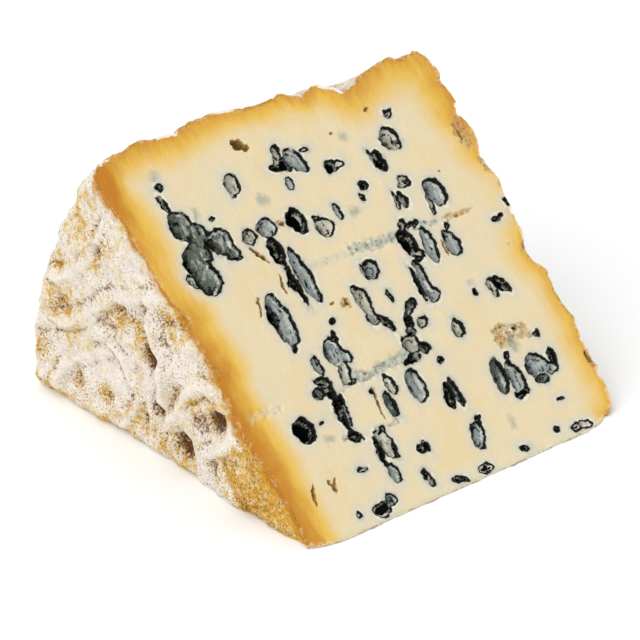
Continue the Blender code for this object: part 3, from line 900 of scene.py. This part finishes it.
    def lay_end_rinds(self):
        """The two flat ends of the drum."""
        form = self.form
        flat_radius = np.interp(form.belt_start, form.run, form.profile[:, 1])
        middle = len(form.run) // 2
        for patch, arc, tip in ((LEFT, self.arcs[0], self.tip[0]),
                                (RIGHT, self.arcs[1], self.tip[-1])):
            if patch == LEFT:
                edge = slice(None, self.turn_left + 1)
                sign, ways = 1, slice(None)
            else:
                edge = slice(self.turn_right, None)
                sign, ways = -1, slice(None, None, -1)
            upper, lower = self.upper[edge][ways], self.lower[edge][ways]
            radii = np.interp(self.along[edge], form.run, form.profile[:, 1])[ways]
            upper_flat = radii[:, None] * (math.cos(form.angle), math.sin(form.angle))
            lower_flat = radii[:, None] * (1.0, 0.0)
            arc_flat = flat_radius * np.stack([np.cos(self.turns), np.sin(self.turns)], axis=1)
            rim = np.concatenate([[tip], upper, arc[::-1], lower[::-1]])
            rim_flat = np.concatenate([[(0.0, 0.0)], upper_flat, arc_flat[::-1],
                                       lower_flat[::-1]])
            spots = even_spots((0.3, 0.3), (flat_radius, flat_radius), form.rind_step,
                               form.chance)
            radius = np.hypot(spots[:, 0], spots[:, 1])
            turn = np.arctan2(spots[:, 1], spots[:, 0])
            keep = ((radius < flat_radius - 0.3) & (spots[:, 1] > 0.26)
                    & (radius * np.sin(form.angle - turn) > 0.26))
            spots, radius, turn = spots[keep], radius[keep], turn[keep]
            if patch == LEFT:
                along = np.interp(radius, form.profile[:middle, 1], form.run[:middle])
            else:
                along = np.interp(radius, form.profile[:middle:-1, 1], form.run[:middle:-1])
            inner = self.add(*form.rind(along, turn))
            self.fill(rim, rim_flat, inner, spots, sign, patch, patch == LEFT)

    def lay_belt(self):
        """The round rind between the two rims."""
        form = self.form
        edge = slice(self.turn_left, self.turn_right + 1)
        along, high = self.along[edge] - form.belt_start, form.radius * form.angle
        upper_flat = np.stack([along, np.full(len(along), high)], axis=1)
        lower_flat = np.stack([along, np.zeros(len(along))], axis=1)
        left_flat = np.stack([np.zeros(len(self.turns)), form.radius * self.turns], axis=1)
        right_flat = left_flat + (form.belt_end - form.belt_start, 0)
        rim = np.concatenate([self.upper[edge], self.arcs[1][::-1], self.lower[edge][::-1],
                              self.arcs[0]])
        rim_flat = np.concatenate([upper_flat, right_flat[::-1], lower_flat[::-1], left_flat])
        spots = even_spots((0.35, 0.35), (form.belt_end - form.belt_start - 0.3, high - 0.3),
                           form.rind_step, form.chance)
        inner = self.add(*form.rind(spots[:, 0] + form.belt_start, spots[:, 1] / form.radius))
        self.fill(rim, rim_flat, inner, spots, 1, BELT, True)


def add_node(tree, kind, inputs=(), **settings):
    """A new node with its settings, its values and its links."""
    node = tree.nodes.new(kind)
    for name, value in settings.items():
        setattr(node, name, value)
    for socket, value in dict(inputs).items():
        if isinstance(value, bpy.types.NodeSocket):
            tree.links.new(value, node.inputs[socket])
        else:
            node.inputs[socket].default_value = value
    return node


def mixed(tree, start, *parts):
    """Socket with a start plus parts, each a field times a share.

    Each of these is a number, a socket or the name of one of the mesh's shades.
    """
    def source(value):
        if isinstance(value, str):
            return add_node(tree, "ShaderNodeAttribute", attribute_name=value).outputs["Fac"]
        return value

    total = source(start)
    for field, share in parts:
        total = add_node(tree, "ShaderNodeMath", {0: source(field), 1: source(share), 2: total},
                         operation="MULTIPLY_ADD").outputs[0]
    return total


def coated(tree, under, fray, coats):
    """Colour of coats laid over an under colour.

    A coat is the field it follows, how far its edge frays, where it starts and where it is
    full, its strength and its colour.
    """
    for field, frayed, start, full, strength, colour in coats:
        cover = add_node(tree, "ShaderNodeMapRange",
                         {0: mixed(tree, field, (fray, frayed)), 1: start, 2: full, 4: strength},
                         interpolation_type="SMOOTHSTEP")
        laid = add_node(tree, "ShaderNodeMix", {0: cover.outputs[0], 6: under,
                                                7: (*colour, 1.0)}, data_type="RGBA")
        under = laid.outputs[2]
    return under


def noise_fields(tree, spot, rows):
    """Noise fields round zero: name, spacing in millimetres and detail of each."""
    fields = {}
    for name, spacing, detail in rows:
        noise = add_node(tree, "ShaderNodeTexNoise",
                         {"Vector": spot, "Scale": 1 / (spacing * MM), "Detail": float(detail),
                          "Roughness": 0.62})
        fields[name] = mixed(tree, -0.5, (noise.outputs["Fac"], 1.0))
    return fields


def new_material(name):
    """An empty node material, its tree and the place on the object."""
    material = bpy.data.materials.new(name)
    material.use_nodes = True
    tree = material.node_tree
    tree.nodes.clear()
    return material, tree, add_node(tree, "ShaderNodeTexCoord").outputs["Object"]


def paste_material(colours, cut_angle):
    """Moist cream paste that dries to amber at the rind, with mould in its holes."""
    material, tree, spot = new_material("blue_cheese_paste")
    # The knife drew the paste and the mould out along the cut
    along_cut = add_node(tree, "ShaderNodeMapping",
                         {"Vector": spot, "Rotation": (-cut_angle, 0.0, 0.0)}).outputs[0]
    drawn = add_node(tree, "ShaderNodeVectorMath", {0: along_cut, 1: (1.0, 0.3, 1.0)},
                     operation="MULTIPLY").outputs[0]
    fields = noise_fields(tree, spot, (("cloud", 14, 2), ("blot", 3.0, 3), ("grit", 0.9, 3),
                                       ("dust", 0.35, 2)))
    fields.update(noise_fields(tree, drawn, (("streak", 1.05, 3), ("smear", 2.6, 3))))
    fray = mixed(tree, fields["blot"], (fields["grit"], 1.4))
    mouldy = add_node(tree, "ShaderNodeMapRange",
                      {0: mixed(tree, "in_mould"), 1: -0.1, 2: 0.35}).outputs[0]
    streaked = mixed(tree, 0.0, (mouldy, fields["streak"]))
    blotted = mixed(tree, 0.0, (mouldy, fields["blot"]))
    veil_grain = mixed(tree, 0.0, ("veil", fields["grit"]))
    dry_grain = mixed(tree, 0.0, ("dry", fields["grit"]))
    crusty = [0.6 * part for part in colours.amber]
    # Clouds of the paste and the golden band
    colour = coated(tree, (*colours.paste, 1.0), fields["blot"], (
        (fields["cloud"], 0.35, 0.0, 0.25, 0.15, colours.golden),
        (fields["cloud"], -0.4, -0.02, -0.3, 0.25, colours.veined),
        ("dried", 0.15, 0.0, 0.60, 0.92, colours.golden),
    ))
    # Crumbly patches, the amber edge and the tint along the needle tracks
    colour = coated(tree, colour, fields["smear"], (
        ("dry", 0.5, 0.1, 0.7, 0.50, colours.cream_bloom),
        ("dry", 0.8, 0.2, 0.9, 0.55, colours.rust),
        ("dried", 0.55, 0.36, 1.0, 0.95, colours.amber),
        ("from_rind", 2.6, 0.7, -0.2, 0.55, crusty),
        ("veil", 0.3, 0.1, 0.75, 0.80, colours.veined),
        (fields["smear"], 0.0, 0.12, 0.26, 0.20, colours.lip),
    ))
    # Crumbs at the edges, the haze round the holes, and a painted highlight on the pale brim round
    # them
    colour = coated(tree, colour, fray, (
        ("from_rind", 3.4, 0.7, -0.6, 0.45, colours.cream_bloom),
        ("from_rind", -3.4, 0.2, -0.9, 0.60, colours.rust),
        ("crust", 0.8, 0.50, 0.80, 0.90, colours.bloom),
        ("above_tip", 3.0, 1.7, 0.2, 0.50, colours.lip),
        ("above_tip", 2.0, 0.5, -0.1, 0.80, colours.rust),
        ("in_haze", 0.8, -1.2, 0.6, 0.65, colours.halo),
        ("in_mould", 0.8, -2.8, -0.3, 0.70, colours.veined),
        ("in_mould", 0.5, -0.95, -0.05, 0.55, colours.halo),
        # Painted highlight on the brim round the holes
        ("brim", 0.6, 0.45, 0.9, 0.60, colours.lip),
    ))
    # Tracks, dry crumbs, and what lines the holes
    colour = coated(tree, colour, fray, (
        ("veil", 0.5, 0.30, 0.90, 0.50, colours.halo),
        (veil_grain, 0.0, 0.03, 0.12, 0.75, colours.moss),
        (veil_grain, 0.0, -0.07, -0.15, 0.35, colours.lip),
        (dry_grain, 0.0, 0.0, 0.10, 0.65, colours.tan),
        (dry_grain, 0.0, 0.12, 0.18, 0.80, colours.earth),
        (dry_grain, 0.0, -0.10, -0.20, 0.35, colours.lip),
        ("in_pale", 0.50, -0.10, 0.15, 0.85, colours.bare),
        ("in_rust", 0.45, -0.10, 0.15, 0.90, colours.rust),
        ("in_rust", 0.90, 0.10, 0.45, 0.65, colours.earth),
        ("in_grey", 0.50, -0.05, 0.15, 0.95, colours.grey),
        ("in_moss", 0.60, -0.10, 0.15, 1.00, colours.moss),
        (blotted, 0.0, 0.02, 0.22, 0.50, colours.black),
        # Whitish streaks in the holes: partly mould bloom, partly painted glints
        (streaked, 0.0, 0.04, 0.14, 0.45, colours.frost),
        (streaked, 0.0, -0.07, -0.13, 0.95, colours.black),
        # Painted shade on each mouldy hole's side away from the light, painted highlight on the
        # side towards it
        ("painted_shade_side", 0.35, 0.46, 0.76, 0.92, colours.black),
        ("painted_highlight_side", 0.35, 0.72, 0.95, 0.50, colours.frost),
        ("in_black", 0.80, 0.0, 0.50, 1.00, colours.black),
        # Dark core and ring along the wall: partly dark mould, partly painted shade; between them
        # a painted glint of light
        ("core", 0.6, 0.38, 0.75, 0.90, colours.black),
        ("painted_glint", 0.5, 0.42, 0.80, 0.75, colours.frost),
        ("ring", 0.6, 0.33, 0.65, 1.00, colours.black),
    ))
    # Moist and waxy where bare, dry and powdery under mould
    finish = {socket: add_node(tree, "ShaderNodeMapRange",
                               {0: mouldy, 3: bare, 4: under_mould}).outputs[0]
              for socket, bare, under_mould in (
                  ("Roughness", 0.48, 0.85), ("Subsurface Weight", 0.22, 0.0),
                  ("Specular IOR Level", 0.35, 0.08), ("Strength", 0.25, 1.0))}
    relief = mixed(tree, fields["grit"], (fields["dust"], 0.3), (fields["smear"], 1.4))
    bump = add_node(tree, "ShaderNodeBump", {"Height": relief, "Distance": 0.5 * MM,
                                             "Strength": finish.pop("Strength")})
    shader = add_node(tree, "ShaderNodeBsdfPrincipled",
                      {"Base Color": colour, "IOR": 1.45, "Subsurface Scale": 2.5 * MM,
                       "Subsurface Radius": (1.0, 0.75, 0.45), "Normal": bump.outputs[0],
                       **finish})
    add_node(tree, "ShaderNodeOutputMaterial", {"Surface": shader.outputs[0]})
    return material


def rind_material(colours):
    """Dry natural rind: powdery bloom over a granular crust, ochre patches, and pits and creases
    partly brown, partly painted shade.
    """
    material, tree, spot = new_material("natural_rind")
    fields = noise_fields(tree, spot, (("cloud", 13, 3), ("patch", 5.5, 4), ("blot", 2.0, 4),
                                       ("grit", 0.75, 4), ("speck", 0.5, 2), ("dust", 0.3, 2)))
    # Grains of the crust, on swerving rows; the real ones are finer than would show
    swerve = add_node(tree, "ShaderNodeTexNoise", {"Vector": spot, "Scale": 1 / (1.5 * MM)})
    rows = add_node(tree, "ShaderNodeVectorMath",
                    {0: swerve.outputs["Color"], 1: (2.0 * MM,) * 3, 2: spot},
                    operation="MULTIPLY_ADD").outputs[0]
    grain = add_node(tree, "ShaderNodeTexVoronoi",
                     {"Vector": rows, "Scale": 1 / (0.75 * MM), "Randomness": 1.0})
    shade = add_node(tree, "ShaderNodeSeparateColor", {0: grain.outputs["Color"]}).outputs[0]
    granule = mixed(tree, -0.5, (shade, 1.0))
    between = grain.outputs["Distance"]
    tinted = mixed(tree, 0.0, (granule, "ochre_zone"))
    golden_blot = mixed(tree, 0.0, (fields["blot"], "ochre_zone"))
    ochre_grain = mixed(tree, "ochre_zone", (granule, 0.35), (fields["patch"], 1.5))
    sprinkled = mixed(tree, fields["speck"], (fields["cloud"], 0.35), ("pit", 0.12),
                      ("ochre_zone", 0.06))
    gap = mixed(tree, between, ("ochre_zone", 0.22), ("pit", 0.35), (fields["cloud"], 0.5))
    # Clouds and patches of the bloom
    colour = coated(tree, (*colours.bloom, 1.0), fields["blot"], (
        (fields["cloud"], -0.4, 0.02, -0.14, 0.30, colours.lilac),
        (fields["patch"], 0.6, -0.02, 0.16, 0.55, colours.cream_bloom),
        (fields["patch"], -1.2, -0.02, -0.24, 0.30, colours.lilac),
        (ochre_grain, 1.6, 0.0, 0.60, 0.85, colours.cream_bloom),
        ("ochre_zone", 1.6, 0.25, 0.95, 0.65, colours.golden),
        (ochre_grain, 2.0, 0.38, 0.95, 0.85, colours.ochre),
    ))
    # Grains, specks and pores; pits and creases darker, partly brown crust and partly painted
    # shade; seam crowns whiter, partly bloom and partly painted highlight
    colour = coated(tree, colour, fields["grit"], (
        (golden_blot, 0.3, 0.02, 0.14, 0.75, colours.golden),
        (tinted, 1.2, 0.15, 0.35, 0.60, colours.cream_bloom),
        (tinted, 1.2, -0.20, -0.35, 0.65, colours.rust),
        (fields["blot"], 0.9, 0.12, 0.34, 0.20, colours.tan),
        # Hollows darker the deeper the dent or crease: partly brown crust, partly painted shade
        ("pit", 1.8, 0.15, 0.80, 0.80, colours.tan),
        (sprinkled, 0.25, 0.08, 0.16, 0.55, colours.tan),
        (sprinkled, 0.45, 0.18, 0.25, 0.85, colours.earth),
        (fields["speck"], 0.5, -0.10, -0.22, 0.40, colours.bloom),
        (gap, 0.7, 0.93, 1.18, 0.75, colours.earth),
        # Deep pits darker still: partly brown crust, partly painted shade
        ("pit", 2.4, 0.40, 1.05, 0.90, colours.earth),
        # Whiter seam crowns: partly bloom, partly painted highlight
        ("ridge", 1.6, 0.50, 1.0, 0.75, colours.bloom),
    ))
    # The crust is thin and stained next to the cut
    colour = coated(tree, colour, fields["patch"], (
        ("from_cut", 12.0, 2.8, 0.2, 0.80, colours.ochre),
        ("from_cut", 9.0, 1.4, -0.4, 0.85, colours.amber),
    ))
    relief = mixed(tree, fields["blot"], (between, -0.45), (fields["grit"], 0.9),
                   (fields["speck"], -0.5), (fields["dust"], 0.35))
    bump = add_node(tree, "ShaderNodeBump", {"Height": relief, "Strength": 1.0,
                                             "Distance": 0.95 * MM})
    shader = add_node(tree, "ShaderNodeBsdfPrincipled",
                      {"Base Color": colour, "Roughness": 0.88, "IOR": 1.45,
                       "Specular IOR Level": 0.25, "Normal": bump.outputs[0]})
    add_node(tree, "ShaderNodeOutputMaterial", {"Surface": shader.outputs[0]})
    return material


class CHEESE_OT_wedge(bpy.types.Operator):
    """Build the wedge with its mouldy cut faces and its rind"""
    bl_idname = "cheese.wedge"
    bl_label = "Cheese Wedge"
    bl_options = {"REGISTER", "UNDO"}

    def execute(self, context):
        scene = context.scene
        form = WedgeForm(scene.cheese_sizes)
        wedge = WedgeSkin(form).make("blue_cheese_wedge", CUT_PATCHES, MAP_SIZE)
        wedge.data.transform(Matrix.Translation((0, WEDGE_LOW.y, WEDGE_LOW.z)))
        wedge.data.materials.append(paste_material(scene.cheese_colours,
                                                   scene.cheese_sizes.wedge_angle))
        wedge.data.materials.append(rind_material(scene.cheese_colours))
        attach(wedge, "root")
        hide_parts("cheese_wedge")
        return {"FINISHED"}


FLOOR_REACH = 3.0
PAPER_COLOUR = (0.94, 0.94, 0.94, 1.0)
SKY_COLOUR, SKY_STRENGTH = (0.955, 0.98, 1.0, 1.0), 0.62
# Wide lights: name, direction from the wedge to it, spread in degrees, strength, colour
SOFTBOXES = (
    ("top_softbox", (-0.10, 0.42, 0.90), 60, 0.99, (1.0, 0.995, 0.985)),
    ("side_softbox", (-0.87, -0.26, 0.42), 95, 1.85, (1.0, 0.99, 0.98)),
)
CAMERA_TARGET = (-3.8, -2.5, 22.9)  # millimetres


class CHEESE_OT_stage(bpy.types.Operator):
    """Set the pale floor, the soft light and the camera"""
    bl_idname = "cheese.stage"
    bl_label = "Stage"
    bl_options = {"REGISTER", "UNDO"}

    def execute(self, context):
        settings = context.scene.cheese_stage
        self.lay_floor(context)
        self.add_light(context, settings)
        self.add_camera(context, settings)
        return {"FINISHED"}

    @staticmethod
    def lay_floor(context):
        """A wide sheet of white paper."""
        mesh = bpy.data.meshes.new("studio_floor")
        corners = [(-FLOOR_REACH, -FLOOR_REACH, 0), (FLOOR_REACH, -FLOOR_REACH, 0),
                   (FLOOR_REACH, FLOOR_REACH, 0), (-FLOOR_REACH, FLOOR_REACH, 0)]
        mesh.from_pydata(corners, [], [(0, 1, 2, 3)])
        paper = bpy.data.materials.new("white_paper")
        paper.use_nodes = True
        sockets = paper.node_tree.nodes["Principled BSDF"].inputs
        sockets["Base Color"].default_value = PAPER_COLOUR
        sockets["Roughness"].default_value = 0.9
        mesh.materials.append(paper)
        floor = bpy.data.objects.new("studio_floor", mesh)
        context.collection.objects.link(floor)

    @staticmethod
    def add_light(context, settings):
        """An even, slightly cool sky and two wide, warm softboxes far away."""
        world = bpy.data.worlds.new("soft_studio")
        world.use_nodes = True
        sky = world.node_tree.nodes["Background"].inputs
        sky["Color"].default_value = SKY_COLOUR
        sky["Strength"].default_value = SKY_STRENGTH * settings.light
        context.scene.world = world
        context.scene.view_settings.view_transform = "Standard"
        for name, towards, spread, strength, colour in SOFTBOXES:
            lamp = bpy.data.lights.new(name, "SUN")
            lamp.angle, lamp.color = math.radians(spread), colour
            lamp.energy = strength * settings.light
            holder = bpy.data.objects.new(name, lamp)
            holder.location = towards
            holder.rotation_euler = Vector(towards).to_track_quat("Z", "Y").to_euler()
            context.collection.objects.link(holder)

    @staticmethod
    def add_camera(context, settings):
        """A long lens, so the wedge keeps its proportions."""
        back = Vector((math.sin(settings.azimuth) * math.cos(settings.elevation),
                       -math.cos(settings.azimuth) * math.cos(settings.elevation),
                       math.sin(settings.elevation)))
        lens = bpy.data.cameras.new("wedge_camera")
        lens.lens = lens.sensor_width * settings.distance / settings.view_width
        camera = bpy.data.objects.new("wedge_camera", lens)
        camera.location = Vector(CAMERA_TARGET) * MM + settings.distance * back
        camera.rotation_euler = back.to_track_quat("Z", "Y").to_euler()
        context.collection.objects.link(camera)
        context.scene.camera = camera


class CHEESE_PT_panel(bpy.types.Panel):
    """The wedge's settings and its two builders"""
    bl_idname = "CHEESE_PT_panel"
    bl_label = "Blue Cheese Wedge"
    bl_space_type = "VIEW_3D"
    bl_region_type = "UI"
    bl_category = "Cheese"

    def draw(self, context):
        for title, group in (("Sizes", context.scene.cheese_sizes),
                             ("Colours", context.scene.cheese_colours),
                             ("Stage", context.scene.cheese_stage)):
            box = self.layout.box()
            box.label(text=title)
            for name in group.bl_rna.properties.keys():
                if name not in ("name", "rna_type"):
                    box.prop(group, name)
        self.layout.operator("cheese.wedge")
        self.layout.operator("cheese.stage")


CLASSES = (CheeseSizes, CheeseColours, StageSettings, CHEESE_OT_wedge, CHEESE_OT_stage,
           CHEESE_PT_panel)


def register():
    """Adds the classes and the scene's settings to Blender."""
    for kind in CLASSES:
        bpy.utils.register_class(kind)
    bpy.types.Scene.cheese_sizes = PointerProperty(type=CheeseSizes)
    bpy.types.Scene.cheese_colours = PointerProperty(type=CheeseColours)
    bpy.types.Scene.cheese_stage = PointerProperty(type=StageSettings)


def unregister():
    """Takes them away again."""
    for name in ("cheese_sizes", "cheese_colours", "cheese_stage"):
        delattr(bpy.types.Scene, name)
    for kind in reversed(CLASSES):
        bpy.utils.unregister_class(kind)


def main():
    """Builds the wedge and its stage."""
    register()
    bpy.ops.cheese.wedge()
    bpy.ops.cheese.stage()


if __name__ == "__main__":
    main()
